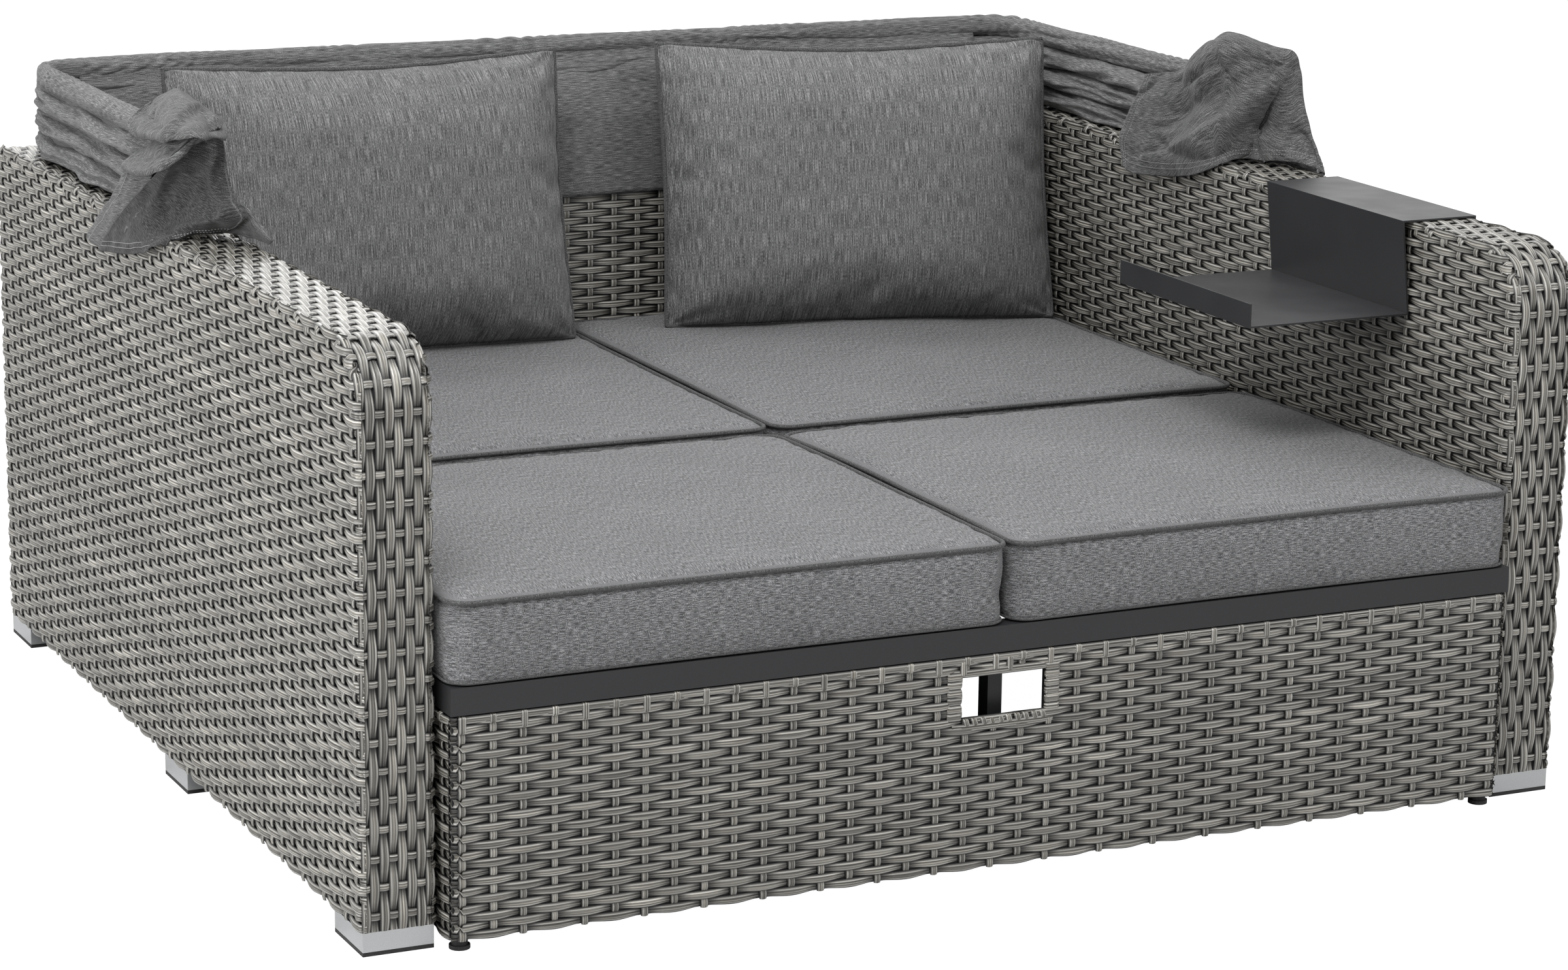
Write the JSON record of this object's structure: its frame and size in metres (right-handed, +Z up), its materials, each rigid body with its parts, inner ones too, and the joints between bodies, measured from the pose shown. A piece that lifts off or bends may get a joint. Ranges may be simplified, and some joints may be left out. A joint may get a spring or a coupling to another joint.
{
  "type": "outdoor daybed",
  "caption": "Woven outdoor daybed with high arms and back, pull-out bench, thick seat cushions, back pillows, fold-back fabric canopy and hook-on side tray.",
  "frame": {"origin": "on the floor under the middle of the bounding box, canopy folded back and bench pushed in", "axes": "+X to the sitter's left as seen from the front (picture right), +Y to the back, +Z up"},
  "size_m": [1.735, 1.609, 0.91],
  "materials": {
    "weave": "mottled grey flat strands, woven, satin",
    "cushion_fabric": "grey melange outdoor cloth, matt",
    "canopy_fabric": "grey melange outdoor cloth, matt",
    "frame_metal": "anthracite powder coat, matt",
    "foot_metal": "brushed",
    "fastener_steel": "plain stainless",
    "rubber": "matt black"
  },
  "bodies": {
    "daybed": {"left_arm_weave": "weave", "right_arm_weave": "weave", "back_weave": "weave", "left_arm_frame": "frame_metal", "right_arm_frame": "frame_metal", "back_frame": "frame_metal", "foot_left_front": "foot_metal", "pad_left_front": "rubber", "foot_left_middle": "foot_metal", "pad_left_middle": "rubber", "foot_left_rear": "foot_metal", "pad_left_rear": "rubber", "foot_right_front": "foot_metal", "pad_right_front": "rubber", "foot_right_middle": "foot_metal", "pad_right_middle": "rubber", "foot_right_rear": "foot_metal", "pad_right_rear": "rubber", "rear_deck_frame": "frame_metal", "deck_bolt_left_front": "fastener_steel", "deck_bolt_left_rear": "fastener_steel", "rear_seat_cushion_left": "cushion_fabric", "back_pillow_left": "cushion_fabric", "canopy_bracket_left": "frame_metal", "canopy_bolt_left": "fastener_steel", "canopy_nut_left": "fastener_steel", "bracket_screw_left_front": "fastener_steel", "bracket_screw_left_rear": "fastener_steel", "canopy_flap_left": "canopy_fabric", "deck_bolt_right_front": "fastener_steel", "deck_bolt_right_rear": "fastener_steel", "rear_seat_cushion_right": "cushion_fabric", "back_pillow_right": "cushion_fabric", "canopy_bracket_right": "frame_metal", "canopy_bolt_right": "fastener_steel", "canopy_nut_right": "fastener_steel", "bracket_screw_right_front": "fastener_steel", "bracket_screw_right_rear": "fastener_steel", "canopy_flap_right": "canopy_fabric", "canopy_hoop_base": "frame_metal", "canopy_sleeve_base": "canopy_fabric"},
    "bench": {"bench_frame": "frame_metal", "bench_apron_weave": "weave", "bench_glide_left_front": "rubber", "bench_glide_left_rear": "rubber", "bench_guide_left": "rubber", "front_seat_cushion_left": "cushion_fabric", "bench_glide_right_front": "rubber", "bench_glide_right_rear": "rubber", "bench_guide_right": "rubber", "front_seat_cushion_right": "cushion_fabric"},
    "canopy_rear": {"canopy_hoop_rear": "frame_metal", "canopy_sleeve_rear": "canopy_fabric"},
    "canopy_middle": {"canopy_hoop_middle": "frame_metal", "canopy_sleeve_middle": "canopy_fabric"},
    "canopy_front": {"canopy_hoop_front": "frame_metal", "canopy_sleeve_front": "canopy_fabric", "canopy_valance": "canopy_fabric"},
    "tray": {"side_tray": "frame_metal"}
  },
  "joints": [
    {"name": "bench_slide", "type": "slide", "parent": "daybed", "child": "bench", "axis": [0, -1, 0], "range_m": [0, 0.7]},
    {"name": "canopy_fold", "type": "hinge", "parent": "daybed", "child": "canopy_rear", "pos_m": [0, 0.0695, 0.805], "axis": [1, 0, 0], "range_deg": [0, 42], "deforming": ["canopy_flap_left", "canopy_flap_right"]},
    {"name": "canopy_fold_middle", "type": "hinge", "parent": "canopy_rear", "child": "canopy_middle", "pos_m": [0, 0.0695, 0.805], "axis": [1, 0, 0], "range_deg": [0, 42]},
    {"name": "canopy_fold_front", "type": "hinge", "parent": "canopy_middle", "child": "canopy_front", "pos_m": [0, 0.0695, 0.805], "axis": [1, 0, 0], "range_deg": [0, 42], "deforming": ["canopy_valance"]},
    {"name": "tray_slide", "type": "slide", "parent": "daybed", "child": "tray", "axis": [0, -1, 0], "range_m": [0, 0.15]}
  ],
  "couplings": [
    {"joint": "canopy_fold_middle", "follows": "canopy_fold", "ratio": 1},
    {"joint": "canopy_fold_front", "follows": "canopy_fold", "ratio": 1}
  ]
}
